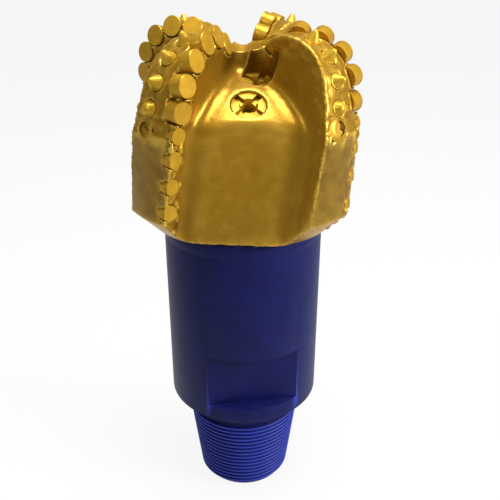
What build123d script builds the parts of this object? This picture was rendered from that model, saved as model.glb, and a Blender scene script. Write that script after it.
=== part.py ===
from build123d import *
import os
from math import acos, asin, atan2, cos, degrees, hypot, pi, radians, sin, tan

# A fixed-cutter drill bit, 8 1/2 in across its gauge, standing on its 4 1/2 REG pin.
# The origin is the centre of the pin's end face, +Z runs up the bit's axis and the crown is at the top.
# Azimuths are in degrees about +Z, measured from -Y towards +X, so the cutters face growing azimuth.

# Driving dimensions of the pin and shank, mm
pin_length = 107.95
pin_base_diameter = 117.5
pin_end_diameter = 90.5
pin_end_chamfer = 3.0
waterway_diameter = 57.2
shank_diameter = 146.0
shank_length = 178.0
shank_bevel = 1.5
flat_across = 119.0
flat_height = 54.0
flat_ledge = 16.0
flat_azimuth = 8.85

# Driving dimensions of the weld and the steel blank
weld_width = 12.0
weld_depth = 9.0
blank_band = 10.0
blank_spigot_diameter = 100.0
blank_spigot_length = 38.0
spigot_clearance = 0.2
blank_core_diameter = 116.0
blank_core_length = 60.0
blank_groove_depth = 4.0
blank_groove_width = 8.0
blank_groove_pitch = 18.0
blank_groove_count = 3

# Driving dimensions of the crown
gauge_diameter = 215.9
pad_relief = 0.5
slot_floor = 76.0
floor_corner_radius = 50.0
skirt_radius = 84.0
skirt_height = 23.0
pad_height = 72.0
blade_count = 4
blade_width_angle = 24.5
blade_lead_angle = 1.5
blade_trailing_offset = 11.5
slot_azimuth = 3.3
twist_rate = 0.10
twist_sections = 4
dome_radius = 110.0
dome_height = 132.7
slot_fillet = 10.0

# Driving dimensions of the cutter line, which gives the blades their outline
cutter_diameter = 17.5
cutter_length = 11.0
first_cutter_pitch = 17.4
cutter_pitch = 19.8
innermost_cutter_radius = 16.0
cutter_proud = 1.0
cutter_rake = 18.0
cutter_stagger = (0.0, -1.0, -0.5, 4.8)
gauge_cutter_height = 96.5
shoulder_height = 117.5
nose_circle_radius = 53.6
nose_radius = 25.0
cone_angle = 28.0
lip_wall = 2.6
lip_setback = 0.8
braze_gap = 0.1

# Driving dimensions of the gauge trimmers, the topmost of which is the gauge cutter
trimmer_diameter = 13.44
trimmer_length = 8.0
trimmer_drop = 18.8
trimmer_pitch = 22.5
trimmer_count = 3
trimmer_depth = 5.0
trimmer_rake = 15.0
trimmer_proud = 1.0

# Driving dimensions of the back-up cones and the gauge discs behind the cutters
cone_setback = 17.0
disc_setback = 17.0
cone_diameter = 12.5
cone_height = 8.0
cone_tip_diameter = 3.0
cone_root = 9.0
cone_count = 4
moat_width = 1.3
moat_depth = 1.0
disc_diameter = 15.0
disc_thickness = 6.0
disc_sink = 1.2
disc_rise = 2.0

# Driving dimensions of the nozzles and their seals
nozzle_diameter = 28.0
nozzle_length = 16.0
nozzle_sink = 3.0
nozzle_mouth = 15.0
nozzle_throat = 9.0
nozzle_slot_width = 5.0
nozzle_slot_depth = 3.5
nozzle_clearance = 0.15
passage_diameter = 15.0
outer_nozzle_radius = 60.0
outer_nozzle_turn = 0.0
inner_nozzle_radius = 30.0
inner_nozzle_turn = 22.0
inner_nozzle_every = 2
plenum_diameter = 76.0
plenum_height = 24.0
plenum_chamfer = 8.0
seal_thickness = 2.4
seal_depth = 9.0
seal_gap = 0.05

# Heights worked out from the driving dimensions
joint_z = pin_length + shank_length
crown_z = joint_z + blank_band
pad_bottom_z = crown_z + skirt_height
pad_top_z = pad_bottom_z + pad_height
gauge_cutter_z = crown_z + gauge_cutter_height
shoulder_z = crown_z + shoulder_height
plenum_z = crown_z + blank_core_length

# Radii worked out from the driving dimensions
gauge_radius = gauge_diameter / 2
pad_radius = gauge_radius - pad_relief
shank_radius = shank_diameter / 2
waterway_radius = waterway_diameter / 2
spigot_radius = blank_spigot_diameter / 2
core_radius = blank_core_diameter / 2
cutter_radius = cutter_diameter / 2
cutter_line_radius = gauge_radius - cutter_radius
shoulder_radius = cutter_line_radius - nose_circle_radius
nose_z = shoulder_z + shoulder_radius
nozzle_radius = nozzle_diameter / 2
dome_centre_z = crown_z + dome_height - dome_radius
blade_step = 360 / blade_count


def across(azimuth):
    """Unit vectors out from the axis and onward round it, at an azimuth."""
    angle = radians(azimuth)
    return Vector(sin(angle), -cos(angle), 0), Vector(cos(angle), sin(angle), 0)


def twist(z):
    """Azimuth of the first junk slot's middle at a height; the other slots follow evenly."""
    return slot_azimuth + twist_rate * (z - pad_top_z)


def leading_azimuth(blade, z):
    """Azimuth of a blade's leading wall at a height."""
    middle = twist(z) + blade_lead_angle + (blade - 0.5) * blade_step
    return middle + blade_width_angle / 2


def cutter_line(travel):
    """Radius, height and lift of the outward normal, at a distance up the line from the gauge cutter."""
    gauge_run = shoulder_z - gauge_cutter_z
    shoulder_run = shoulder_radius * pi / 2
    nose_run = nose_radius * radians(cone_angle)
    if travel < gauge_run:
        return cutter_line_radius, gauge_cutter_z + travel, 0.0
    travel -= gauge_run
    if travel < shoulder_run:
        lift = travel / shoulder_radius
        return (nose_circle_radius + shoulder_radius * cos(lift),
                shoulder_z + shoulder_radius * sin(lift), degrees(lift))
    travel -= shoulder_run
    lift = pi / 2 + min(travel, nose_run) / nose_radius
    radius = nose_circle_radius + nose_radius * cos(lift)
    height = nose_z - nose_radius + nose_radius * sin(lift)
    cone_run = max(travel - nose_run, 0)
    slope = radians(cone_angle)
    return radius - cone_run * cos(slope), height - cone_run * sin(slope), degrees(lift)


def seat(azimuth, radius, z, lift, rake=90.0, forward=0.0):
    """Plane on the crown, facing onward at no rake and straight out of the surface at 90 degrees."""
    out, onward = across(azimuth)
    normal = out * cos(radians(lift)) + Vector(0, 0, sin(radians(lift)))
    facing = onward * cos(radians(rake)) + normal * sin(radians(rake))
    sideways = out * sin(radians(lift)) - Vector(0, 0, cos(radians(lift)))
    return Plane(origin=out * radius + onward * forward + Vector(0, 0, z), x_dir=sideways, z_dir=facing)


def first_travel(blade):
    """Distance up the line from a blade's gauge cutter to the next cutter."""
    return first_cutter_pitch + cutter_stagger[blade % len(cutter_stagger)]


def cutter_seats(blade):
    """Face planes of the cutters on a blade, from the first above the gauge cutter to the centre."""
    seats = []
    travel = first_travel(blade)
    radius, z, lift = cutter_line(travel)
    while radius > innermost_cutter_radius:
        seats.append(seat(leading_azimuth(blade, z), radius, z, lift, cutter_rake, cutter_proud))
        travel += cutter_pitch
        radius, z, lift = cutter_line(travel)
    return seats


def trimmer_seats(blade):
    """Face planes of the gauge cutter and the trimmers below it, down the leading edge of a pad."""
    places = [(gauge_radius - trimmer_diameter / 2, gauge_cutter_z)]
    for index in range(trimmer_count):
        places.append((gauge_radius - trimmer_depth, gauge_cutter_z - trimmer_drop - index * trimmer_pitch))
    return [seat(leading_azimuth(blade, z), radius, z, 0.0, trimmer_rake, trimmer_proud)
            for radius, z in places]


# Above the pads the outline is a straight bevel, up to where it touches the shoulder's curve
bevel_run = hypot(pad_radius - nose_circle_radius, shoulder_z - pad_top_z)
bevel_dip = degrees(atan2(shoulder_z - pad_top_z, pad_radius - nose_circle_radius))
bevel_lift = degrees(acos(shoulder_radius / bevel_run)) - bevel_dip
bevel_top = (nose_circle_radius + shoulder_radius * cos(radians(bevel_lift)),
             shoulder_z + shoulder_radius * sin(radians(bevel_lift)))


def insert_seat(blade, travel, setback):
    """Plane on the blade's outer surface, behind the cutter that sits this far up the line."""
    radius, z, lift = cutter_line(travel)
    if z < bevel_top[1] and lift < bevel_lift:
        share = (z - pad_top_z) / (bevel_top[1] - pad_top_z)
        radius = pad_radius + share * (bevel_top[0] - pad_radius)
        lift = bevel_lift
    return seat(leading_azimuth(blade, z) - setback, radius, z, lift)


def cone_seats(blade):
    """Planes of the back-up cones, one behind each of the cutters next to the gauge cutter."""
    return [insert_seat(blade, first_travel(blade) + index * cutter_pitch, cone_setback)
            for index in range(cone_count)]


def nozzle_seat(slot, radius, turn):
    """Plane on the dome, square to it, in a junk slot."""
    tilt = asin(radius / dome_radius)
    z = dome_centre_z + dome_radius * cos(tilt)
    return seat(twist(z) + turn + slot * blade_step, radius, z, 90 - degrees(tilt))


nozzle_seats = [nozzle_seat(slot, outer_nozzle_radius, outer_nozzle_turn) for slot in range(blade_count)]
nozzle_seats += [nozzle_seat(slot, inner_nozzle_radius, inner_nozzle_turn)
                 for slot in range(0, blade_count, inner_nozzle_every)]

os.makedirs("parts", exist_ok=True)

# Shank: one turning with the tapered pin, the shoulder, the waterway and two milled breaker flats
with BuildPart() as shank:
    with BuildSketch(Plane.XZ):
        with BuildLine():
            Polyline((waterway_radius, 0), (pin_end_diameter / 2 - pin_end_chamfer, 0),
                     (pin_end_diameter / 2, pin_end_chamfer), (pin_base_diameter / 2, pin_length),
                     (shank_radius - shank_bevel, pin_length), (shank_radius, pin_length + shank_bevel),
                     (shank_radius, joint_z - weld_width / 2), (shank_radius - weld_depth, joint_z),
                     (spigot_radius + spigot_clearance, joint_z),
                     (spigot_radius + spigot_clearance, joint_z - blank_spigot_length),
                     (waterway_radius, joint_z - blank_spigot_length), close=True)
        make_face()
    revolve(axis=Axis.Z)
    flat_depth = shank_radius - flat_across / 2
    for turn in (0, 180):
        with BuildSketch(Plane.XY.offset(pin_length + flat_ledge)):
            with Locations(Location((0, 0, 0), (0, 0, flat_azimuth - 90 + turn))):
                with Locations((flat_across / 2 + flat_depth, 0)):
                    Rectangle(2 * flat_depth, 2 * shank_diameter)
        extrude(amount=flat_height, mode=Mode.SUBTRACT)
shank.part.label = "shank"
export_step(shank.part, "parts/shank.step")

# Steel blank: the turned core that the crown is cast round, with grooves that hold the matrix
with BuildPart() as steel_blank:
    with BuildSketch(Plane.XZ):
        with BuildLine():
            Polyline((waterway_radius, joint_z - blank_spigot_length),
                     (spigot_radius, joint_z - blank_spigot_length), (spigot_radius, joint_z),
                     (shank_radius - weld_depth, joint_z), (shank_radius, joint_z + weld_width / 2),
                     (shank_radius, crown_z), (core_radius, crown_z), (core_radius, plenum_z),
                     (waterway_radius, plenum_z), close=True)
        make_face()
        for index in range(blank_groove_count):
            with Locations((core_radius, crown_z + (index + 0.7) * blank_groove_pitch)):
                Rectangle(2 * blank_groove_depth, blank_groove_width, mode=Mode.SUBTRACT)
    revolve(axis=Axis.Z)
steel_blank.part.label = "steel_blank"
export_step(steel_blank.part, "parts/steel_blank.step")

# Weld bead: fills the V-groove between the shank and the blank, ground flush with both
with BuildPart() as weld_bead:
    with BuildSketch(Plane.XZ):
        with BuildLine():
            Polyline((shank_radius, joint_z - weld_width / 2), (shank_radius, joint_z + weld_width / 2),
                     (shank_radius - weld_depth, joint_z), close=True)
        make_face()
    revolve(axis=Axis.Z)
weld_bead.part.label = "weld_bead"
export_step(weld_bead.part, "parts/weld_bead.step")

# Crown: one casting, the twisted hub and blades trimmed to the outline that the cutters sweep
loft_levels = [crown_z + (nose_z - crown_z) * step / (twist_sections - 1) for step in range(twist_sections)]
half_blade = radians(blade_width_angle / 2)
arm_reach = 1.1 * gauge_radius
slope = radians(cone_angle)
nose_centre_z = nose_z - nose_radius
cone_start = (nose_circle_radius - nose_radius * sin(slope), nose_centre_z + nose_radius * cos(slope))
cone_apex_z = cone_start[1] - cone_start[0] * tan(slope)

with BuildPart() as crown:
    for z in loft_levels:
        with BuildSketch(Plane.XY.offset(z)):
            RectangleRounded(2 * slot_floor, 2 * slot_floor, floor_corner_radius, rotation=twist(z))
    loft()
    with BuildSketch(Plane.XZ.rotated((0, 0, slot_azimuth - 45))):
        with BuildLine():
            RadiusArc((0, dome_centre_z + dome_radius), (dome_radius, dome_centre_z), dome_radius)
            Polyline((dome_radius, dome_centre_z), (dome_radius, crown_z), (0, crown_z),
                     (0, dome_centre_z + dome_radius))
        make_face()
    revolve(axis=Axis.Z, mode=Mode.INTERSECT)

with BuildPart() as blades:
    for z in loft_levels:
        with BuildSketch(Plane.XY.offset(z)):
            for blade in range(blade_count):
                turn = twist(z) + blade_lead_angle - 90 + (blade - 0.5) * blade_step
                with Locations(Location((0, 0, 0), (0, 0, turn))):
                    Polygon((0, 0), (0, -blade_trailing_offset),
                            (arm_reach * cos(half_blade), -arm_reach * sin(half_blade)),
                            (arm_reach * cos(half_blade), arm_reach * sin(half_blade)), align=None)
    loft()


def slot_edges(part):
    """The edges where the hub's facets and dome meet each other and the blades' walls."""
    chosen = []
    for edge in part.edges():
        middle = edge @ 0.5
        inside = hypot(middle.X, middle.Y) < gauge_radius * 0.9
        if inside and crown_z + 1 < middle.Z < nose_z - 1:
            chosen.append(edge)
    return chosen


with BuildPart() as envelope:
    with BuildSketch(Plane.XZ.rotated((0, 0, slot_azimuth - 45))):
        with BuildLine():
            Polyline((0, cone_apex_z), (0, crown_z), (skirt_radius, crown_z), (pad_radius, pad_bottom_z),
                     (pad_radius, pad_top_z), bevel_top)
            RadiusArc(bevel_top, (nose_circle_radius, nose_z), -shoulder_radius)
            RadiusArc((nose_circle_radius, nose_z), cone_start, -nose_radius)
            Line(cone_start, (0, cone_apex_z))
        make_face()
    revolve(axis=Axis.Z)

with crown:
    add(blades.part)
    fillet(slot_edges(crown.part), slot_fillet)
    for blade in range(blade_count):
        for face in cutter_seats(blade):
            with BuildSketch(face.offset(-lip_setback)):
                Circle(cutter_radius + lip_wall)
            extrude(amount=-cutter_length)
    add(envelope.part, mode=Mode.INTERSECT)
    # The cavities of the steel blank, the fluid chamber, the cutters and the inserts
    add(steel_blank.part, mode=Mode.SUBTRACT)
    with BuildSketch(Plane.XY.offset(crown_z)):
        Circle(core_radius - blank_groove_depth)
    extrude(amount=blank_core_length, mode=Mode.SUBTRACT)
    for blade in range(blade_count):
        for face in cutter_seats(blade):
            with BuildSketch(face.offset(-cutter_length)):
                Circle(cutter_radius + braze_gap)
            extrude(amount=cutter_length + cutter_proud, mode=Mode.SUBTRACT)
        for face in trimmer_seats(blade):
            with BuildSketch(face.offset(-trimmer_length)):
                Circle(trimmer_diameter / 2 + braze_gap)
            extrude(amount=trimmer_length + cutter_proud, mode=Mode.SUBTRACT)
        for face in cone_seats(blade):
            with BuildSketch(face.offset(-cone_root)):
                Circle(cone_diameter / 2 + braze_gap)
            extrude(amount=cone_root + cone_height, mode=Mode.SUBTRACT)
            with BuildSketch(face.offset(-moat_depth)):
                Circle(cone_diameter / 2 + moat_width)
            extrude(amount=moat_depth + cone_height, mode=Mode.SUBTRACT)
        with BuildSketch(insert_seat(blade, disc_rise, disc_setback).offset(-disc_sink - disc_thickness)):
            Circle(disc_diameter / 2 + braze_gap)
        extrude(amount=disc_thickness + cone_root, mode=Mode.SUBTRACT)

with BuildPart() as plenum:
    with BuildSketch(Plane.XY.offset(plenum_z)):
        Circle(plenum_diameter / 2)
    extrude(amount=plenum_height)
    chamfer(plenum.edges().group_by(Axis.Z)[-1], plenum_chamfer)

with crown:
    add(plenum.part, mode=Mode.SUBTRACT)
    for face in nozzle_seats:
        with BuildSketch(face.offset(-nozzle_sink - nozzle_length)):
            Circle(nozzle_radius + nozzle_clearance)
        extrude(amount=nozzle_length + dome_radius / 4, mode=Mode.SUBTRACT)
        with BuildSketch(face.offset(-nozzle_sink - seal_depth - seal_thickness / 2 - seal_gap)):
            Circle(nozzle_radius + seal_thickness + 2 * seal_gap)
        extrude(amount=seal_thickness + 2 * seal_gap, mode=Mode.SUBTRACT)
        passage_start = face.offset(-nozzle_sink - nozzle_length)
        passage_length = (passage_start.origin.Z - plenum_z - plenum_height / 2) / face.z_dir.Z
        with BuildSketch(passage_start):
            Circle(passage_diameter / 2)
        extrude(amount=-passage_length, mode=Mode.SUBTRACT)
crown.part.label = "crown"
export_step(crown.part, "parts/crown.step")

for blade in range(blade_count):
    # PDC cutters: carbide cylinders, their diamond faces forward, brazed into open pockets
    with BuildPart() as cutters:
        with BuildSketch(*cutter_seats(blade)):
            Circle(cutter_radius)
        extrude(amount=-cutter_length)
    cutters.part.label = f"cutters_blade_{blade + 1}"
    export_step(cutters.part, f"parts/cutters_blade_{blade + 1}.step")

    # Gauge cutter and trimmers: smaller cutters, ground flat to the hole's diameter
    with BuildPart() as trimmers:
        with BuildSketch(*trimmer_seats(blade)):
            Circle(trimmer_diameter / 2)
        extrude(amount=-trimmer_length)
        with BuildSketch(Plane.XY.offset(crown_z)):
            Circle(gauge_radius)
        extrude(amount=nose_z - crown_z, mode=Mode.INTERSECT)
    trimmers.part.label = f"gauge_trimmers_blade_{blade + 1}"
    export_step(trimmers.part, f"parts/gauge_trimmers_blade_{blade + 1}.step")

    # Back-up cones: pressed in behind the cutters, their points just short of the cutters' reach
    with BuildPart() as cones:
        for face in cone_seats(blade):
            with BuildSketch(face.offset(-cone_root)):
                Circle(cone_diameter / 2)
            extrude(amount=cone_root)
            with BuildSketch(face):
                Circle(cone_diameter / 2)
            with BuildSketch(face.offset(cone_height)):
                Circle(cone_tip_diameter / 2)
            loft()
    cones.part.label = f"backup_cones_blade_{blade + 1}"
    export_step(cones.part, f"parts/backup_cones_blade_{blade + 1}.step")

    # Gauge disc: a flat insert sunk in a round recess at the top of the pad
    with BuildPart() as gauge_disc:
        with BuildSketch(insert_seat(blade, disc_rise, disc_setback).offset(-disc_sink)):
            Circle(disc_diameter / 2)
        extrude(amount=-disc_thickness)
    gauge_disc.part.label = f"gauge_disc_blade_{blade + 1}"
    export_step(gauge_disc.part, f"parts/gauge_disc_blade_{blade + 1}.step")

for number, face in enumerate(nozzle_seats, start=1):
    # Nozzle: a threaded carbide bush with a flared mouth and four wrench slots across its face
    top = face.offset(-nozzle_sink)
    with BuildPart() as nozzle:
        with BuildSketch(top):
            Circle(nozzle_radius)
        extrude(amount=-nozzle_length)
        with BuildSketch(top):
            Circle(nozzle_mouth / 2)
        with BuildSketch(top.offset(-nozzle_length / 2)):
            Circle(nozzle_throat / 2)
        loft(mode=Mode.SUBTRACT)
        with BuildSketch(top):
            Circle(nozzle_throat / 2)
        extrude(amount=-nozzle_length, mode=Mode.SUBTRACT)
        with BuildSketch(top):
            Rectangle(nozzle_diameter, nozzle_slot_width)
            Rectangle(nozzle_slot_width, nozzle_diameter)
        extrude(amount=-nozzle_slot_depth, mode=Mode.SUBTRACT)
    nozzle.part.label = f"nozzle_{number}"
    export_step(nozzle.part, f"parts/nozzle_{number}.step")

    # Nozzle seal: a square-cut rubber ring in a groove round the nozzle
    with BuildPart() as seal:
        with BuildSketch(top.offset(-seal_depth - seal_thickness / 2)):
            Circle(nozzle_radius + seal_gap + seal_thickness)
            Circle(nozzle_radius + seal_gap, mode=Mode.SUBTRACT)
        extrude(amount=seal_thickness)
    seal.part.label = f"nozzle_seal_{number}"
    export_step(seal.part, f"parts/nozzle_seal_{number}.step")
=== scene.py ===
from math import acos, asin, atan2, cos, degrees, hypot, pi, radians, sin

import bmesh
import bpy
import numpy
from mathutils import Matrix, Vector, noise


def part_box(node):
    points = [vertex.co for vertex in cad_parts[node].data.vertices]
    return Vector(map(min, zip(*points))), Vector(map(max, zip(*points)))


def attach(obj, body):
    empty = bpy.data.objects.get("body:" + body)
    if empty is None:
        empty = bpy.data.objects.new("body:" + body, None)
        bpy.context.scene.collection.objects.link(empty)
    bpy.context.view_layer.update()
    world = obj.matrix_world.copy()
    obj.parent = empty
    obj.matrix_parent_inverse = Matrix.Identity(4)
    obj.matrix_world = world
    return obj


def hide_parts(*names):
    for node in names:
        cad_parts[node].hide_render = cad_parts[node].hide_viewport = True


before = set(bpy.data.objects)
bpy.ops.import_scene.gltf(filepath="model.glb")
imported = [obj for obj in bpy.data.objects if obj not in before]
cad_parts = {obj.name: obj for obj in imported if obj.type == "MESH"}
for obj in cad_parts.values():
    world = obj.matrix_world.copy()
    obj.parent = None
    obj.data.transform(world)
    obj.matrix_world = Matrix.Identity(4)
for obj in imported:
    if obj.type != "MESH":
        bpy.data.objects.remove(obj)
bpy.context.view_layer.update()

# ---------------------------------------------------------------------------------------------
# Crown: one infiltrated matrix casting, its edges uneven and beaded with slag from the mould, its
# pads ground to gauge below a ragged step, and all of it sprayed with metallic gold paint. It is a
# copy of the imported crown, remeshed evenly and then moved vertex by vertex.
crown_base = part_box("crown")[0].z
gauge_radius = 0.10795
pad_radius = gauge_radius - 0.0005
pad_top_z = crown_base + 0.095
pad_bottom_z = crown_base + 0.023
shoulder_z = crown_base + 0.1175
nose_circle_radius = 0.0536
blade_count = 4
blade_step = 360 / blade_count
blade_width_angle = 24.5
blade_lead_angle = 1.5
slot_azimuth = 3.3
twist_rate = 100.0
casting_voxel = 0.00125
casting_waves = ((0.022, 0.00030), (0.007, 0.00012))
blade_top_size = 0.0045
blade_top_wave = 0.00035
edge_size = 0.0035
edge_wave = 0.00040
slag_angle = 34.5
slag_size = 0.0042
slag_height = 0.0016
lump_angle = 31.0
lump_size = 0.0062
lump_height = 0.0026
blend_rounds = 110
pad_layer = 0.0012
pad_raggedness = (0.0003, 0.0026, 0.0008, 0.0012)
pocket_depth = 0.0016
pocket_rim = 0.0007
skin_kept = 0.46

# The line that the cutters stand on, which gives the blades their outline and their pockets
cutter_radius = 0.00875
cutter_length = 0.011
first_cutter_pitch = 0.0174
cutter_pitch = 0.0198
innermost_cutter_radius = 0.016
cutter_proud = 0.001
cutter_rake = 18.0
cutter_stagger = (0.0, -0.001, -0.0005, 0.0048)
gauge_cutter_z = crown_base + 0.0965
nose_radius = 0.025
cone_angle = 28.0
cutter_line_radius = gauge_radius - cutter_radius
shoulder_radius = cutter_line_radius - nose_circle_radius
nose_z = shoulder_z + shoulder_radius


def across(azimuth):
    """Unit vectors out from the axis and onward round it, at an azimuth from -Y towards +X."""
    angle = radians(azimuth)
    return Vector((sin(angle), -cos(angle), 0)), Vector((cos(angle), sin(angle), 0))


def leading_azimuth(blade, z):
    """Azimuth of a blade's leading wall at a height."""
    slot_middle = slot_azimuth + twist_rate * (z - pad_top_z)
    return slot_middle + blade_lead_angle + (blade - 0.5) * blade_step + blade_width_angle / 2


def cutter_line(travel):
    """Radius, height and lift of the outward normal, at a distance up the line from the gauge cutter."""
    gauge_run = shoulder_z - gauge_cutter_z
    shoulder_run = shoulder_radius * pi / 2
    nose_run = nose_radius * radians(cone_angle)
    if travel < gauge_run:
        return cutter_line_radius, gauge_cutter_z + travel, 0.0
    travel -= gauge_run
    if travel < shoulder_run:
        lift = travel / shoulder_radius
        return (nose_circle_radius + shoulder_radius * cos(lift),
                shoulder_z + shoulder_radius * sin(lift), degrees(lift))
    travel -= shoulder_run
    lift = pi / 2 + min(travel, nose_run) / nose_radius
    cone_run = max(travel - nose_run, 0)
    radius = nose_circle_radius + nose_radius * cos(lift) - cone_run * cos(radians(cone_angle))
    height = nose_z - nose_radius + nose_radius * sin(lift) - cone_run * sin(radians(cone_angle))
    return radius, height, degrees(lift)


def seat(azimuth, radius, z, lift, rake=90.0, forward=0.0):
    """Placing matrix on the crown: its Z faces onward at no rake, and straight out at 90 degrees."""
    out, onward = across(azimuth)
    normal = out * cos(radians(lift)) + Vector((0, 0, sin(radians(lift))))
    facing = (onward * cos(radians(rake)) + normal * sin(radians(rake))).normalized()
    sideways = out * sin(radians(lift)) - Vector((0, 0, cos(radians(lift))))
    origin = out * radius + onward * forward + Vector((0, 0, z))
    turned = Matrix((sideways, facing.cross(sideways), facing)).transposed().to_4x4()
    return Matrix.Translation(origin) @ turned


def first_travel(blade):
    """Distance up the line from a blade's gauge cutter to the next cutter."""
    return first_cutter_pitch + cutter_stagger[blade]


def fresh_material(name):
    """An empty node material with its Principled shader and output joined."""
    material = bpy.data.materials.new(name)
    material.use_nodes = True
    nodes = material.node_tree.nodes
    nodes.clear()
    shader = nodes.new("ShaderNodeBsdfPrincipled")
    output = nodes.new("ShaderNodeOutputMaterial")
    material.node_tree.links.new(shader.outputs["BSDF"], output.inputs["Surface"])
    return material, shader


def dress(piece, material):
    """Puts one material on a piece, in place of any it came with."""
    piece.data.materials.clear()
    piece.data.materials.append(material)


def alone(piece):
    """Selects one piece only and makes it the active one."""
    bpy.ops.object.select_all(action="DESELECT")
    piece.select_set(True)
    bpy.context.view_layer.objects.active = piece


def edit(piece, step):
    """Opens a piece in edit mode, runs one step of work on it and closes it again."""
    alone(piece)
    bpy.ops.object.mode_set(mode="EDIT")
    step()
    bpy.ops.object.mode_set(mode="OBJECT")


def merge_skin():
    """In edit mode, joins loose triangles into closed skin."""
    bpy.ops.mesh.select_all(action="SELECT")
    bpy.ops.mesh.remove_doubles(threshold=1e-6)


def take_copy(node, name):
    """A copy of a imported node's mesh, its loose triangles merged into closed skin."""
    piece = bpy.data.objects.new(name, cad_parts[node].data.copy())
    bpy.context.scene.collection.objects.link(piece)
    edit(piece, merge_skin)
    return piece


def apply_modifier(piece, kind, **settings):
    """Adds a modifier with these settings and applies it at once."""
    modifier = piece.modifiers.new(kind.title(), kind)
    for setting, value in settings.items():
        setattr(modifier, setting, value)
    alone(piece)
    bpy.ops.object.modifier_apply(modifier=modifier.name)


def vertex_vectors(mesh, kind):
    """The places ("co") or normals of a mesh's vertices, as an array of three columns."""
    values = numpy.empty(len(mesh.vertices) * 3)
    mesh.vertices.foreach_get(kind, values)
    return values.reshape(len(mesh.vertices), 3)


def proud_of_neighbours(mesh, rounds):
    """How far each vertex stands above the mean of its neighbours, evened out over some rounds."""
    count = len(mesh.vertices)
    places = vertex_vectors(mesh, "co")
    normals = vertex_vectors(mesh, "normal")
    ends = numpy.empty(len(mesh.edges) * 2, dtype=numpy.int32)
    mesh.edges.foreach_get("vertices", ends)
    first, second = ends[0::2], ends[1::2]
    near = numpy.maximum(numpy.bincount(ends, minlength=count), 1)

    def mean_of_neighbours(values):
        return (numpy.bincount(first, weights=values[second], minlength=count)
                + numpy.bincount(second, weights=values[first], minlength=count)) / near

    proud = sum((places[:, axis] - mean_of_neighbours(places[:, axis])) * normals[:, axis]
                for axis in range(3))
    for _ in range(rounds):
        proud = 0.5 * proud + 0.5 * mean_of_neighbours(proud)
    return proud


def mark(piece, name, values):
    """Keeps one value for each vertex, under a name that a material can read."""
    attribute = piece.data.attributes.new(name, "FLOAT", "POINT")
    attribute.data.foreach_set("value", values)


def slot_angle(place):
    """Angle round the bit from the middle of the nearest junk slot, which turns with height."""
    azimuth = degrees(atan2(place.x, -place.y))
    middle = slot_azimuth + twist_rate * (place.z - pad_top_z)
    return (azimuth - middle + blade_step / 2) % blade_step - blade_step / 2


def cutter_seats(blade):
    """Placing matrices of the cutters on a blade, from the first above the gauge cutter inwards."""
    places = []
    travel = first_travel(blade)
    radius, z, lift = cutter_line(travel)
    while radius > innermost_cutter_radius:
        places.append(seat(leading_azimuth(blade, z), radius, z, lift, cutter_rake, cutter_proud))
        travel += cutter_pitch
        radius, z, lift = cutter_line(travel)
    return places


def share_between(value, low, high):
    """Where a value lies from low to high, as 0 to 1."""
    return min(1.0, max(0.0, (value - low) / (high - low)))


def depth_under_outline(radius, z):
    """How far a place lies inside the outline that the blades reach."""
    if z < shoulder_z:
        return pad_radius - radius
    if radius < nose_circle_radius:
        return nose_z - z
    return shoulder_radius - hypot(radius - nose_circle_radius, z - shoulder_z)


crown = take_copy("crown", "crown_casting")
apply_modifier(crown, "REMESH", mode="VOXEL", voxel_size=casting_voxel, use_smooth_shade=True)
apply_modifier(crown, "SMOOTH", factor=0.5, iterations=3)

# The slots' corners are blended wide where the mould was rounded by hand, but not round the nozzles
nozzle_mouths = [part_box(f"nozzle_{number}") for number in range(1, 7)]
nozzle_mouths = [(low + high) / 2 for low, high in nozzle_mouths]
blended = crown.vertex_groups.new(name="blended")
for vertex in crown.data.vertices:
    place = vertex.co
    radius = hypot(place.x, place.y)
    weight = share_between(depth_under_outline(radius, place.z), 0.006, 0.014)
    weight *= share_between(place.z, pad_bottom_z + 0.005, pad_bottom_z + 0.020)
    weight *= share_between(radius, 0.042, 0.052)
    weight *= share_between(min((place - mouth).length for mouth in nozzle_mouths), 0.020, 0.026)
    if weight > 0:
        blended.add([vertex.index], weight, "REPLACE")
apply_modifier(crown, "SMOOTH", factor=0.5, iterations=blend_rounds, vertex_group="blended")

# Each cutter's pocket is open round the stud and has a raised crescent behind it
places = vertex_vectors(crown.data, "co")
pocket_push = numpy.zeros(len(places))
for blade in range(blade_count):
    for place in cutter_seats(blade):
        inverse = numpy.array(place.inverted())
        local = places @ inverse[:3, :3].T + inverse[:3, 3]
        reach = numpy.hypot(local[:, 0], local[:, 1]) - cutter_radius
        along = -local[:, 2] / cutter_length
        beside = numpy.clip(1 - numpy.abs(reach - 0.0006) / 0.0024, 0, 1)
        beside *= numpy.clip(along / 0.3, 0, 1) * numpy.clip((1.12 - along) / 0.12, 0, 1)
        behind = numpy.clip(1 - numpy.abs(along - 1.22) / 0.16, 0, 1)
        behind *= (reach < 0.001) & (local[:, 1] < 0.002)
        pocket_push += pocket_rim * behind - pocket_depth * beside

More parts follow.
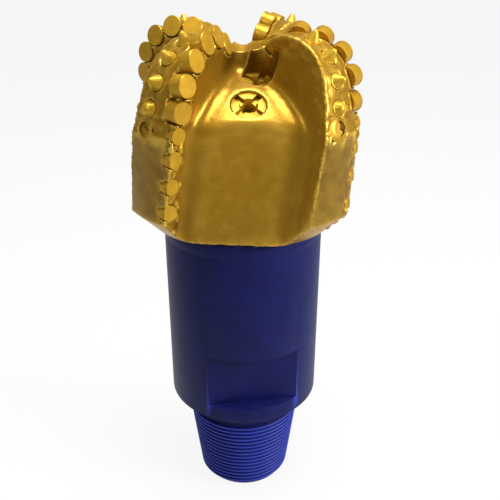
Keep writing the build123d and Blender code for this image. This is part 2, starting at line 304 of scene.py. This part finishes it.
# The mould's waves, the rough edges, the slag behind each blade, the lumps down its front and the
# step above each pad
edge_height = proud_of_neighbours(crown.data, 2)
normals = [vertex.normal.copy() for vertex in crown.data.vertices]
pad_painted_shade = []
for vertex, normal, height, pocket in zip(crown.data.vertices, normals, edge_height, pocket_push):
    place = vertex.co.copy()
    radius = hypot(place.x, place.y)
    depth = depth_under_outline(radius, place.z)
    angle = slot_angle(place)
    push = pocket
    for size, wave in casting_waves:
        push += wave * noise.noise(place / size)
    if depth < 0.010 and place.z > pad_top_z:
        push += blade_top_wave * noise.noise(place / blade_top_size)
    on_edge = share_between(height, 0.00003, 0.00012)
    if on_edge and radius > 0.055:
        push += edge_wave * on_edge * noise.noise(place / edge_size)
        back_edge = share_between(abs(angle - slag_angle), 4.5, 2.0)
        upper = share_between(place.z, pad_bottom_z + 0.012, pad_bottom_z + 0.045)
        push += slag_height * on_edge * back_edge * upper * abs(noise.noise(place / slag_size))
    if angle < 0 and depth < 0.016 and place.z < pad_top_z:
        front_edge = share_between(abs(angle + lump_angle), 6.0, 2.5)
        push += lump_height * front_edge * max(0.0, noise.noise(place / lump_size) - 0.05)
    vertex.co += normal * push
    outward = (normal.x * place.x + normal.y * place.y) / radius if radius > 0.01 else 0.0
    outer = depth < 0.004 and radius > 0.088 and outward > 0.6 and abs(angle) > 30
    blade = int((degrees(atan2(place.x, -place.y)) + 45 + blade_step / 2) // blade_step) % blade_count
    rag = pad_raggedness[blade]
    edge_z = pad_top_z - rag + 2.2 * rag * noise.noise(place / 0.006 + Vector((blade, 0, 0)))
    if outer and place.z > pad_top_z - 0.008:
        above = share_between(place.z, edge_z - 0.0006, edge_z + 0.0006)
        above *= share_between(place.z, pad_top_z + 0.022, pad_top_z + 0.004)
        vertex.co.x -= pad_layer * above * place.x / radius
        vertex.co.y -= pad_layer * above * place.y / radius
    pad_painted_shade.append(1.0 if outer and pad_bottom_z < place.z < edge_z else 0.0)
# Painted shade: the crown's material darkens the gold over the ground pads marked here
mark(crown, "pad", pad_painted_shade)
apply_modifier(crown, "DECIMATE", ratio=skin_kept)
for polygon in crown.data.polygons:
    polygon.use_smooth = True

# Painted shade and painted highlight: the gold is darkened in the hollows, less so near the bit's axis, and
# lightened over the rims
inner_share = [0.15 + 0.85 * share_between(hypot(vertex.co.x, vertex.co.y), 0.045, 0.055)
               for vertex in crown.data.vertices]
mark(crown, "hollow_painted_shade", numpy.clip(-proud_of_neighbours(crown.data, 8) / 0.00009, 0, 1) * inner_share)
mark(crown, "painted_highlight", numpy.clip(proud_of_neighbours(crown.data, 2) / 0.00020, 0, 1))

# The unevenness of sprayed paint, shared by every painted piece: a mottled tint, a grain in the
# gloss and a fine orange peel in the height
paint_skin = bpy.data.node_groups.new("sprayed_paint_skin", "ShaderNodeTree")
for name, low, high, usual in (("Mottle Size", 1, 400, 60), ("Grain Size", 50, 4000, 900)):
    socket = paint_skin.interface.new_socket(name, in_out="INPUT", socket_type="NodeSocketFloat")
    socket.default_value = usual
    socket.min_value = low
    socket.max_value = high
for name in ("Mottle", "Grain", "Height"):
    paint_skin.interface.new_socket(name, in_out="OUTPUT", socket_type="NodeSocketFloat")
group_in = paint_skin.nodes.new("NodeGroupInput")
group_out = paint_skin.nodes.new("NodeGroupOutput")
coordinates = paint_skin.nodes.new("ShaderNodeTexCoord")
mottle = paint_skin.nodes.new("ShaderNodeTexNoise")
mottle.inputs["Detail"].default_value = 5.0
mottle.inputs["Roughness"].default_value = 0.6
grain = paint_skin.nodes.new("ShaderNodeTexNoise")
grain.inputs["Detail"].default_value = 2.0
sum_height = paint_skin.nodes.new("ShaderNodeMath")
sum_height.operation = "MULTIPLY_ADD"
sum_height.inputs[1].default_value = 0.35
for texture, size in ((mottle, "Mottle Size"), (grain, "Grain Size")):
    paint_skin.links.new(coordinates.outputs["Object"], texture.inputs["Vector"])
    paint_skin.links.new(group_in.outputs[size], texture.inputs["Scale"])
paint_skin.links.new(grain.outputs["Fac"], sum_height.inputs[0])
paint_skin.links.new(mottle.outputs["Fac"], sum_height.inputs[2])
paint_skin.links.new(mottle.outputs["Fac"], group_out.inputs["Mottle"])
paint_skin.links.new(grain.outputs["Fac"], group_out.inputs["Grain"])
paint_skin.links.new(sum_height.outputs["Value"], group_out.inputs["Height"])


def paint(name, light, deep, gloss, bump, mottle_size, grain_size, metallic, touches=()):
    """Sprayed paint: two tints mottled together, uneven gloss and a fine bumpy skin. Each touch is an
    attribute, the tint mixed in there, and the most of that tint; on the crown and the shank the touches lay
    on painted shade and painted highlight."""
    material, shader = fresh_material(name)
    tree = material.node_tree
    skin = tree.nodes.new("ShaderNodeGroup")
    skin.node_tree = paint_skin
    skin.inputs["Mottle Size"].default_value = mottle_size
    skin.inputs["Grain Size"].default_value = grain_size
    tint = tree.nodes.new("ShaderNodeValToRGB")
    tint.color_ramp.elements[0].position = 0.36
    tint.color_ramp.elements[0].color = (*deep, 1)
    tint.color_ramp.elements[1].position = 0.64
    tint.color_ramp.elements[1].color = (*light, 1)
    tree.links.new(skin.outputs["Mottle"], tint.inputs["Fac"])
    colour = tint.outputs["Color"]
    for attribute, shade, most in touches:
        reading = tree.nodes.new("ShaderNodeAttribute")
        reading.attribute_name = attribute
        amount = tree.nodes.new("ShaderNodeMath")
        amount.operation = "MULTIPLY"
        amount.inputs[1].default_value = most
        blend = tree.nodes.new("ShaderNodeMixRGB")
        blend.inputs["Color2"].default_value = (*shade, 1)
        tree.links.new(reading.outputs["Fac"], amount.inputs[0])
        tree.links.new(amount.outputs["Value"], blend.inputs["Fac"])
        tree.links.new(colour, blend.inputs["Color1"])
        colour = blend.outputs["Color"]
    rough = tree.nodes.new("ShaderNodeMapRange")
    rough.inputs["To Min"].default_value = gloss[0]
    rough.inputs["To Max"].default_value = gloss[1]
    relief = tree.nodes.new("ShaderNodeBump")
    relief.inputs["Strength"].default_value = bump
    relief.inputs["Distance"].default_value = 0.0006
    tree.links.new(colour, shader.inputs["Base Color"])
    tree.links.new(skin.outputs["Grain"], rough.inputs["Value"])
    tree.links.new(rough.outputs["Result"], shader.inputs["Roughness"])
    tree.links.new(skin.outputs["Height"], relief.inputs["Height"])
    tree.links.new(relief.outputs["Normal"], shader.inputs["Normal"])
    shader.inputs["Metallic"].default_value = metallic
    if metallic:
        shader.inputs["Specular IOR Level"].default_value = 0.4
        shader.inputs["Specular Tint"].default_value = (1.0, 0.72, 0.22, 1)
    else:
        shader.inputs["Specular IOR Level"].default_value = 0.10
    return material


# The one gold paint is written in shaded and lit copies: darker here on the crown, as painted shade, and
# lighter on the cutters, trimmers, cones, discs and nozzles, as painted light.
dress(crown, paint("crown_gold_paint", (0.24, 0.125, 0.008), (0.215, 0.109, 0.007), (0.22, 0.34), 0.34,
                   90, 1100, 0.45, touches=(("pad", (0.14, 0.075, 0.009), 1.0),
                                            ("hollow_painted_shade", (0.10, 0.045, 0.003), 0.85),
                                            ("painted_highlight", (0.62, 0.40, 0.06), 0.7))))
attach(crown, "root")
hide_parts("crown")

# ---------------------------------------------------------------------------------------------
# Cutters: round studs of tungsten carbide faced with a thin sintered diamond table, brazed into
# the pockets along each blade's leading edge, faces forward, and sprayed over with the gold.
def join_pieces(pieces, name):
    """Joins pieces into one, under a new name."""
    alone(pieces[0])
    for piece in pieces:
        piece.select_set(True)
    if len(pieces) > 1:
        bpy.ops.object.join()
    pieces[0].name = name
    return pieces[0]


def set_copies(model, places):
    """Copies of a model, each at its own place; the model itself stays."""
    copies = []
    for place in places:
        copy = bpy.data.objects.new(model.name, model.data.copy())
        bpy.context.scene.collection.objects.link(copy)
        copy.data.transform(place)
        copies.append(copy)
    return copies


def pick_faces(piece, wanted):
    """In edit mode, selects only the faces that the test wants."""
    mesh = bmesh.from_edit_mesh(piece.data)
    bpy.ops.mesh.select_all(action="DESELECT")
    for face in mesh.faces:
        face.select_set(wanted(face))
    bmesh.update_edit_mesh(piece.data)


def round_bar(name, radius, back, front, edge, sides=56, segments=2):
    """A round bar along Z from back to front, its front edge rounded off."""
    bpy.ops.object.select_all(action="DESELECT")
    bpy.ops.mesh.primitive_cylinder_add(vertices=sides, radius=radius, depth=front - back,
                                        location=(0, 0, (front + back) / 2))
    piece = bpy.context.object
    piece.name = name
    bpy.ops.object.transform_apply(location=True, rotation=True, scale=True)

    def round_front():
        pick_faces(piece, lambda face: face.normal.z > 0.9)
        bpy.ops.mesh.bevel(offset=edge, segments=segments, affect="EDGES")

    edit(piece, round_front)
    bpy.ops.object.shade_smooth_by_angle(angle=radians(35))
    return piece


table_thickness = 0.002


def cutter_model(name, radius, length, step=None):
    """A carbide stud with its diamond table in front, a hair wider, and a bright chamfer round it."""
    table = round_bar(name, radius, -table_thickness, 0, 0.00045, segments=1)
    stud = round_bar(name, radius - 0.00006, -length, -table_thickness + 0.0001, 0.0002)
    if step:
        edit(table, step)
        edit(stud, step)
    return join_pieces([table, stud], name)


# These tints are lighter than the crown's gold: painted light on the cutters' and trimmers' faces.
cutter_light = (0.38, 0.215, 0.016)
cutter_deep = (0.31, 0.165, 0.011)
cutter_paint = paint("cutter_gold_paint", cutter_light, cutter_deep, (0.28, 0.40), 0.10, 140, 1500, 0.45)
cutter = cutter_model("cutter", cutter_radius, cutter_length)
for blade in range(blade_count):
    row = join_pieces(set_copies(cutter, cutter_seats(blade)), f"cutter_row_{blade + 1}")
    dress(row, cutter_paint)
    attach(row, "root")
    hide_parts(f"cutters_blade_{blade + 1}")
bpy.data.objects.remove(cutter)

# ---------------------------------------------------------------------------------------------
# Gauge cutter and trimmers: smaller studs of the same make, brazed in down the leading edge of
# each gauge pad. The trimmers are ground with the pad to the hole's size, which leaves a flat side.
trimmer_radius = 0.00672
trimmer_length = 0.008
trimmer_drop = 0.0188
trimmer_pitch = 0.0225
trimmer_depth = 0.005
trimmer_rake = 15.0
trimmer_proud = 0.001
trimmer_count = 3
trimmer_paint = paint("trimmer_gold_paint", cutter_light, cutter_deep, (0.28, 0.40), 0.10, 140, 1500, 0.45)
tilt = radians(trimmer_rake)
hole_side = Vector((0, -cos(tilt), sin(tilt)))


def grind():
    """In edit mode, takes off what stands outside the hole's radius and closes the flat."""
    bpy.ops.mesh.select_all(action="SELECT")
    bpy.ops.mesh.bisect(plane_co=hole_side * (trimmer_depth - 0.0001), plane_no=hole_side,
                        use_fill=True, clear_outer=True)


gauge_cutter = cutter_model("gauge_cutter", trimmer_radius, trimmer_length)
trimmer = cutter_model("trimmer", trimmer_radius, trimmer_length, grind)
for blade in range(blade_count):
    place = seat(leading_azimuth(blade, gauge_cutter_z), gauge_radius - trimmer_radius, gauge_cutter_z,
                 0.0, trimmer_rake, trimmer_proud)
    row = set_copies(gauge_cutter, [place])
    places = []
    for index in range(trimmer_count):
        z = gauge_cutter_z - trimmer_drop - index * trimmer_pitch
        places.append(seat(leading_azimuth(blade, z), gauge_radius - trimmer_depth, z, 0.0,
                           trimmer_rake, trimmer_proud))
    row = join_pieces(row + set_copies(trimmer, places), f"trimmer_row_{blade + 1}")
    dress(row, trimmer_paint)
    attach(row, "root")
    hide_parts(f"gauge_trimmers_blade_{blade + 1}")
bpy.data.objects.remove(gauge_cutter)
bpy.data.objects.remove(trimmer)

# ---------------------------------------------------------------------------------------------
# Back-up cones: pressed carbide inserts behind the cutters, three with blunted points and the
# lowest of each blade a low dome, each standing in a shallow moat and sprayed with the gold.
cone_setback = 17.0
cone_radius = 0.00625
cone_height = 0.0078
cone_root = 0.009
cone_count = 4
bevel_run = hypot(pad_radius - nose_circle_radius, shoulder_z - pad_top_z)
bevel_dip = atan2(shoulder_z - pad_top_z, pad_radius - nose_circle_radius)
bevel_lift = acos(shoulder_radius / bevel_run) - bevel_dip
bevel_top_radius = nose_circle_radius + shoulder_radius * cos(bevel_lift)
bevel_top_z = shoulder_z + shoulder_radius * sin(bevel_lift)


def insert_seat(blade, travel, setback):
    """Placing matrix on the blade's outer surface, behind the cutter this far up the line."""
    radius, z, lift = cutter_line(travel)
    if z < bevel_top_z and lift < degrees(bevel_lift):
        share = (z - pad_top_z) / (bevel_top_z - pad_top_z)
        radius = pad_radius + share * (bevel_top_radius - pad_radius)
        lift = degrees(bevel_lift)
    return seat(leading_azimuth(blade, z) - setback, radius, z, lift)


def cone_model(name, tip, height, rounding):
    """A root bar with a cone on it, the cone's tip rounded over."""
    root = round_bar(name, cone_radius, -cone_root, -0.0003, 0.0003)
    bpy.ops.object.select_all(action="DESELECT")
    bpy.ops.mesh.primitive_cone_add(vertices=56, radius1=cone_radius - 0.0002, radius2=tip,
                                    depth=height + 0.001, location=(0, 0, height / 2 - 0.0005))
    point = bpy.context.object
    bpy.ops.object.transform_apply(location=True, rotation=True, scale=True)

    def round_tip():
        pick_faces(point, lambda face: face.normal.z > 0.95)
        bpy.ops.mesh.bevel(offset=rounding, segments=5, affect="EDGES")

    edit(point, round_tip)
    bpy.ops.object.shade_smooth_by_angle(angle=radians(40))
    return join_pieces([root, point], name)


# The cones' gold is lighter still than the cutters': painted light.
cone_paint = paint("cone_gold_paint", (0.48, 0.29, 0.026), (0.38, 0.22, 0.016), (0.24, 0.36), 0.10,
                   160, 1500, 0.4)
sharp_cone = cone_model("sharp_cone", 0.0016, cone_height, 0.0013)
low_dome = cone_model("low_dome", 0.0036, 0.0052, 0.0022)
for blade in range(blade_count):
    places = [insert_seat(blade, first_travel(blade) + index * cutter_pitch, cone_setback)
              for index in range(cone_count)]
    row = join_pieces(set_copies(low_dome, places[:1]) + set_copies(sharp_cone, places[1:]),
                      f"cone_row_{blade + 1}")
    dress(row, cone_paint)
    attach(row, "root")
    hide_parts(f"backup_cones_blade_{blade + 1}")
bpy.data.objects.remove(sharp_cone)
bpy.data.objects.remove(low_dome)

# ---------------------------------------------------------------------------------------------
# Gauge discs: one flat round carbide insert sunk at the top of each pad, with a raised ring round
# a shallow dish, pressed in and painted over.
disc_setback = 17.0
disc_rise = 0.002
disc_radius = 0.0075
disc_sink = 0.0012
disc_thickness = 0.006
disc = round_bar("disc", disc_radius, -disc_thickness - disc_sink, -disc_sink, 0.0003)


def dish_face():
    """In edit mode, sinks the middle of the disc's face and leaves a ring round it."""
    pick_faces(disc, lambda face: face.normal.z > 0.9)
    bpy.ops.mesh.inset(thickness=0.0016)
    bpy.ops.mesh.inset(thickness=0.0004, depth=-0.0006)
    bpy.ops.mesh.inset(thickness=0.0020, depth=-0.0002)


edit(disc, dish_face)
bpy.ops.object.shade_smooth_by_angle(angle=radians(25))
disc_paint = paint("disc_gold_paint", (0.36, 0.20, 0.020), (0.27, 0.145, 0.012), (0.30, 0.44), 0.12,
                   140, 1500, 0.45)
for blade in range(blade_count):
    piece = set_copies(disc, [insert_seat(blade, disc_rise, disc_setback)])[0]
    piece.name = f"disc_{blade + 1}"
    dress(piece, disc_paint)
    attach(piece, "root")
    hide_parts(f"gauge_disc_blade_{blade + 1}")
bpy.data.objects.remove(disc)

# ---------------------------------------------------------------------------------------------
# Nozzles: threaded carbide bushes screwed into the dome of each junk slot, with a flared mouth and
# four wrench slots that leave four lugs round the face. Each is sealed by a square-cut rubber ring.
dome_radius = 0.110
dome_centre_z = crown_base + 0.1327 - dome_radius
nozzle_radius = 0.014
nozzle_length = 0.016
nozzle_sink = 0.003
nozzle_mouth_radius = 0.0075
nozzle_throat_radius = 0.0045
nozzle_slot_width = 0.005
nozzle_slot_depth = 0.0035
nozzle_turn = 45.0
outer_nozzle_radius = 0.060
inner_nozzle_radius = 0.030
inner_nozzle_turn = 22.0
inner_nozzle_slots = (0, 2)
seal_thickness = 0.0024
seal_depth = 0.009
seal_gap = 0.00005


def nozzle_seat(slot, radius, turn):
    """Placing matrix on the dome, square to it, in a junk slot."""
    lean = asin(radius / dome_radius)
    z = dome_centre_z + dome_radius * cos(lean)
    slot_middle = slot_azimuth + twist_rate * (z - pad_top_z)
    return seat(slot_middle + turn + slot * blade_step, radius, z, 90 - degrees(lean))


def cut_away(piece, tool):
    """Takes a tool's shape out of a piece and removes the tool."""
    apply_modifier(piece, "BOOLEAN", operation="DIFFERENCE", object=tool, solver="EXACT")
    bpy.data.objects.remove(tool)


nozzle = round_bar("nozzle", nozzle_radius, -nozzle_length, 0, 0.0007, segments=2)
bpy.ops.object.select_all(action="DESELECT")
flare = (nozzle_mouth_radius - nozzle_throat_radius) / (nozzle_length / 2)
bpy.ops.mesh.primitive_cone_add(vertices=56, radius1=nozzle_throat_radius,
                                radius2=nozzle_mouth_radius + flare * 0.001,
                                depth=nozzle_length / 2 + 0.001, location=(0, 0, -nozzle_length / 4 + 0.0005))
cut_away(nozzle, bpy.context.object)
bpy.ops.object.select_all(action="DESELECT")
bpy.ops.mesh.primitive_cylinder_add(vertices=56, radius=nozzle_throat_radius, depth=nozzle_length * 2)
cut_away(nozzle, bpy.context.object)
for turn in (0, pi / 2):
    bpy.ops.object.select_all(action="DESELECT")
    bpy.ops.mesh.primitive_cube_add(size=1, location=(0, 0, 0), rotation=(0, 0, turn))
    bar = bpy.context.object
    bar.scale = (nozzle_slot_width, nozzle_radius * 3, nozzle_slot_depth * 2)
    bpy.ops.object.transform_apply(location=True, rotation=True, scale=True)
    cut_away(nozzle, bar)
apply_modifier(nozzle, "BEVEL", width=0.0003, segments=2, limit_method="ANGLE", angle_limit=radians(40))
alone(nozzle)
bpy.ops.object.shade_smooth_by_angle(angle=radians(35))

bpy.ops.object.select_all(action="DESELECT")
bpy.ops.mesh.primitive_cylinder_add(vertices=96, radius=nozzle_radius + seal_gap + seal_thickness,
                                    depth=seal_thickness, end_fill_type="NOTHING",
                                    location=(0, 0, -seal_depth))
seal = bpy.context.object
seal.name = "seal"
bpy.ops.object.transform_apply(location=True, rotation=True, scale=True)
apply_modifier(seal, "SOLIDIFY", thickness=seal_thickness, offset=-1)
apply_modifier(seal, "BEVEL", width=0.0002, segments=2, limit_method="ANGLE", angle_limit=radians(40))
alone(seal)
bpy.ops.object.shade_smooth_by_angle(angle=radians(35))

nozzle_paint = paint("nozzle_gold_paint", (0.36, 0.20, 0.014), (0.27, 0.14, 0.009), (0.26, 0.40), 0.15,
                     140, 1300, 0.45)
seal_rubber = paint("seal_black_rubber", (0.020, 0.020, 0.021), (0.012, 0.012, 0.013), (0.55, 0.7), 0.2,
                    120, 2500, 0.0)
nozzle_places = [nozzle_seat(slot, outer_nozzle_radius, 0.0) for slot in range(blade_count)]
nozzle_places += [nozzle_seat(slot, inner_nozzle_radius, inner_nozzle_turn) for slot in inner_nozzle_slots]
for number, place in enumerate(nozzle_places, start=1):
    face = place @ Matrix.Translation((0, 0, -nozzle_sink)) @ Matrix.Rotation(radians(nozzle_turn), 4, "Z")
    for model, name, node, material, slot in (
            (nozzle, f"nozzle_bush_{number}", f"nozzle_{number}", nozzle_paint, "nozzle_gold"),
            (seal, f"seal_ring_{number}", f"nozzle_seal_{number}", seal_rubber, "seal_rubber")):
        piece = set_copies(model, [face])[0]
        piece.name = name
        dress(piece, material)
        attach(piece, "root")
        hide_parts(node)
bpy.data.objects.remove(nozzle)
bpy.data.objects.remove(seal)

# ---------------------------------------------------------------------------------------------
# Shank: turned alloy steel with two milled breaker flats and a tapered pin, its thread cut in one
# right-hand helix that runs out below the plain neck. All of it is sprayed navy blue.
pin_length = 0.10795
pin_base_radius = 0.05875
pin_end_radius = 0.04525
neck_length = 0.0127
thread_pitch = 0.00508
thread_depth = 0.0029
thread_turns = 17
thread_start = 0.0050
edge_break = 0.0007
flat_across = 0.119
flat_ledge_z = pin_length + 0.016
flat_azimuth = 8.85
navy_light = (0.0042, 0.006, 0.062)
navy_deep = (0.003, 0.0045, 0.048)

shank = take_copy("shank", "shank_turning")


def cut_neck():
    """In edit mode, merges the flat faces and cuts new rings round the pin below its neck."""
    bpy.ops.mesh.select_all(action="SELECT")
    bpy.ops.mesh.dissolve_limited(angle_limit=radians(0.3))
    for height in (pin_length - neck_length, pin_length - neck_length - thread_depth):
        bpy.ops.mesh.select_all(action="SELECT")
        bpy.ops.mesh.bisect(plane_co=(0, 0, height), plane_no=(0, 0, 1))


edit(shank, cut_neck)
for vertex in shank.data.vertices:
    radius = hypot(vertex.co.x, vertex.co.y)
    if vertex.co.z < pin_length - neck_length - thread_depth + 1e-5 and radius > 0.035:
        vertex.co.x *= 1 - thread_depth / radius
        vertex.co.y *= 1 - thread_depth / radius
apply_modifier(shank, "BEVEL", width=edge_break, segments=3, limit_method="ANGLE", angle_limit=radians(28))
alone(shank)
bpy.ops.object.shade_smooth_by_angle(angle=radians(32))

# The thread's ridge: one turn's section, wound up the pin and drawn in to the pin's taper
section = ((-0.0033, -0.0024), (-0.0009, -0.0012), (-0.00015, -0.00075), (0, -0.00035),
           (0, 0.00035), (-0.00015, 0.00075), (-0.0009, 0.0012), (-0.0033, 0.0024))
bpy.ops.object.select_all(action="DESELECT")
bpy.ops.mesh.primitive_circle_add(vertices=len(section), radius=0.003, fill_type="NOTHING")
thread = bpy.context.object
for vertex, (depth, height) in zip(thread.data.vertices, section):
    vertex.co = (pin_base_radius + depth, 0, thread_start + height)
apply_modifier(thread, "SCREW", axis="Z", angle=2 * pi, screw_offset=thread_pitch,
               iterations=thread_turns, steps=72, render_steps=72, use_normal_calculate=True)
thread_end = thread_start + thread_turns * thread_pitch
for vertex in thread.data.vertices:
    depth = pin_base_radius - hypot(vertex.co.x, vertex.co.y)
    surface = pin_end_radius + (pin_base_radius - pin_end_radius) * vertex.co.z / pin_length
    fade = share_between(vertex.co.z, thread_end - 0.0005, thread_end - 0.006)
    fade = min(fade, share_between(vertex.co.z, thread_start - 0.0005, thread_start + 0.002))
    radius = surface - thread_depth - 0.0004 + (thread_depth + 0.0004 - depth) * fade
    turn = atan2(vertex.co.y, vertex.co.x)
    vertex.co.x = radius * cos(turn)
    vertex.co.y = radius * sin(turn)


def close_ends():
    """In edit mode, caps the two ends of the ridge and turns its faces outwards."""
    bpy.ops.mesh.select_all(action="SELECT")
    bpy.ops.mesh.fill_holes(sides=len(section))
    bpy.ops.mesh.normals_make_consistent(inside=False)


edit(thread, close_ends)
bpy.ops.object.shade_smooth_by_angle(angle=radians(50))
shank = join_pieces([shank, thread], "shank_turning")

# A painted highlight, a lighter blue, along the thread's crests and along the inner corner of each flat's
# ledge
crest_and_ledge_highlight = []
for vertex in shank.data.vertices:
    surface = pin_end_radius + (pin_base_radius - pin_end_radius) * vertex.co.z / pin_length
    reach = abs(vertex.co.x * sin(radians(flat_azimuth)) - vertex.co.y * cos(radians(flat_azimuth)))
    if vertex.co.z < pin_length - neck_length - 0.002:
        crest_and_ledge_highlight.append(share_between(hypot(vertex.co.x, vertex.co.y) - surface, -0.0012, -0.0001))
    else:
        off = sorted((abs(reach - flat_across / 2), abs(vertex.co.z - flat_ledge_z)))
        crest_and_ledge_highlight.append(1.0 if edge_break * 0.05 < off[0] and off[1] < edge_break * 0.95 else 0.0)
mark(shank, "painted_highlight", crest_and_ledge_highlight)
dress(shank, paint("shank_navy_paint", navy_light, navy_deep, (0.38, 0.50), 0.12, 60, 900, 0.0,
                   touches=(("painted_highlight", (0.030, 0.048, 0.38), 0.75),)))
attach(shank, "root")
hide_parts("shank")

# ---------------------------------------------------------------------------------------------
# Weld and steel blank: the turned blank that carries the crown, and the weld that fills the groove
# between it and the shank, ground nearly flush with a trace of its ripples left. Both are navy blue.
weld_low, weld_high = (corner.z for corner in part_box("weld_bead"))
weld_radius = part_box("weld_bead")[1].x
weld_wall = 0.005
bpy.ops.object.select_all(action="DESELECT")
bpy.ops.mesh.primitive_cylinder_add(vertices=160, radius=weld_radius, depth=weld_high - weld_low,
                                    end_fill_type="NOTHING", location=(0, 0, (weld_low + weld_high) / 2))
weld = bpy.context.object
weld.name = "weld_ring"
bpy.ops.object.transform_apply(location=True, rotation=True, scale=True)
apply_modifier(weld, "SOLIDIFY", thickness=weld_wall, offset=-1)
apply_modifier(weld, "BEVEL", width=0.0004, segments=2, limit_method="ANGLE", angle_limit=radians(40))
blank = take_copy("steel_blank", "blank_turning")
for piece, node, slot, ripple in ((weld, "weld_bead", "weld_blue", 0.35),
                                  (blank, "steel_blank", "blank_steel", 0.12)):
    dress(piece, paint(f"{slot}_navy_paint", navy_light, navy_deep, (0.38, 0.50), ripple, 110, 900, 0.0))
    alone(piece)
    bpy.ops.object.shade_smooth_by_angle(angle=radians(30))
    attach(piece, "root")
    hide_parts(node)

# ---------------------------------------------------------------------------------------------
# The stage: a white floor that takes a soft shadow, soft lamps and the camera.
bpy.ops.object.select_all(action="DESELECT")
bpy.ops.mesh.primitive_plane_add(size=30, location=(0, 0, 0))
floor = bpy.context.object
floor.name = "floor"
floor_paint, floor_shader = fresh_material("floor_white")
floor_shader.inputs["Base Color"].default_value = (0.5, 0.5, 0.5, 1)
floor_shader.inputs["Roughness"].default_value = 0.9
floor_shader.inputs["Specular IOR Level"].default_value = 0.1
tree = floor_paint.node_tree
seen = tree.nodes.new("ShaderNodeLightPath")
glow = tree.nodes.new("ShaderNodeEmission")
glow.inputs["Color"].default_value = (1, 1, 1, 1)
either = tree.nodes.new("ShaderNodeMath")
either.operation = "MAXIMUM"
any_of = tree.nodes.new("ShaderNodeMath")
any_of.operation = "MAXIMUM"
share = tree.nodes.new("ShaderNodeMath")
share.operation = "MULTIPLY"
share.inputs[1].default_value = 0.9
mix = tree.nodes.new("ShaderNodeMixShader")
surface = next(node for node in tree.nodes if node.type == "OUTPUT_MATERIAL")
tree.links.new(seen.outputs["Is Camera Ray"], either.inputs[0])
tree.links.new(seen.outputs["Is Glossy Ray"], either.inputs[1])
tree.links.new(either.outputs["Value"], any_of.inputs[0])
tree.links.new(seen.outputs["Is Transmission Ray"], any_of.inputs[1])
tree.links.new(any_of.outputs["Value"], share.inputs[0])
tree.links.new(share.outputs["Value"], mix.inputs["Fac"])
tree.links.new(floor_shader.outputs["BSDF"], mix.inputs[1])
tree.links.new(glow.outputs["Emission"], mix.inputs[2])
tree.links.new(mix.outputs["Shader"], surface.inputs["Surface"])
dress(floor, floor_paint)

world = bpy.data.worlds.new("studio_air")
world.use_nodes = True
world.node_tree.nodes["Background"].inputs["Color"].default_value = (1, 1, 1, 1)
world.node_tree.nodes["Background"].inputs["Strength"].default_value = 0.3
bpy.context.scene.world = world

lamps = (("right_lamp", (1.5, -0.6, 0.9), 0.6, 46.0), ("left_lamp", (-1.0, -1.0, 1.2), 0.4, 5.0),
         ("top_lamp", (0.1, -0.1, 1.7), 0.7, 42.0))
for name, place, size, watts in lamps:
    light = bpy.data.lights.new(name, "AREA")
    light.size = size
    light.energy = watts
    lamp = bpy.data.objects.new(name, light)
    bpy.context.scene.collection.objects.link(lamp)
    lamp.location = place
    aim = Vector((0, 0, 0.33)) - Vector(place)
    lamp.rotation_euler = aim.to_track_quat("-Z", "Y").to_euler()

camera_data = bpy.data.cameras.new("camera")
camera_data.lens = 48.46
camera_data.sensor_width = 36
camera = bpy.data.objects.new("camera", camera_data)
bpy.context.scene.collection.objects.link(camera)
camera.location = (0.0065, -0.5792, 0.5328)
camera.rotation_euler = (radians(90 - 25.55), 0, 0)
bpy.context.scene.camera = camera
bpy.context.scene.view_settings.view_transform = "Standard"
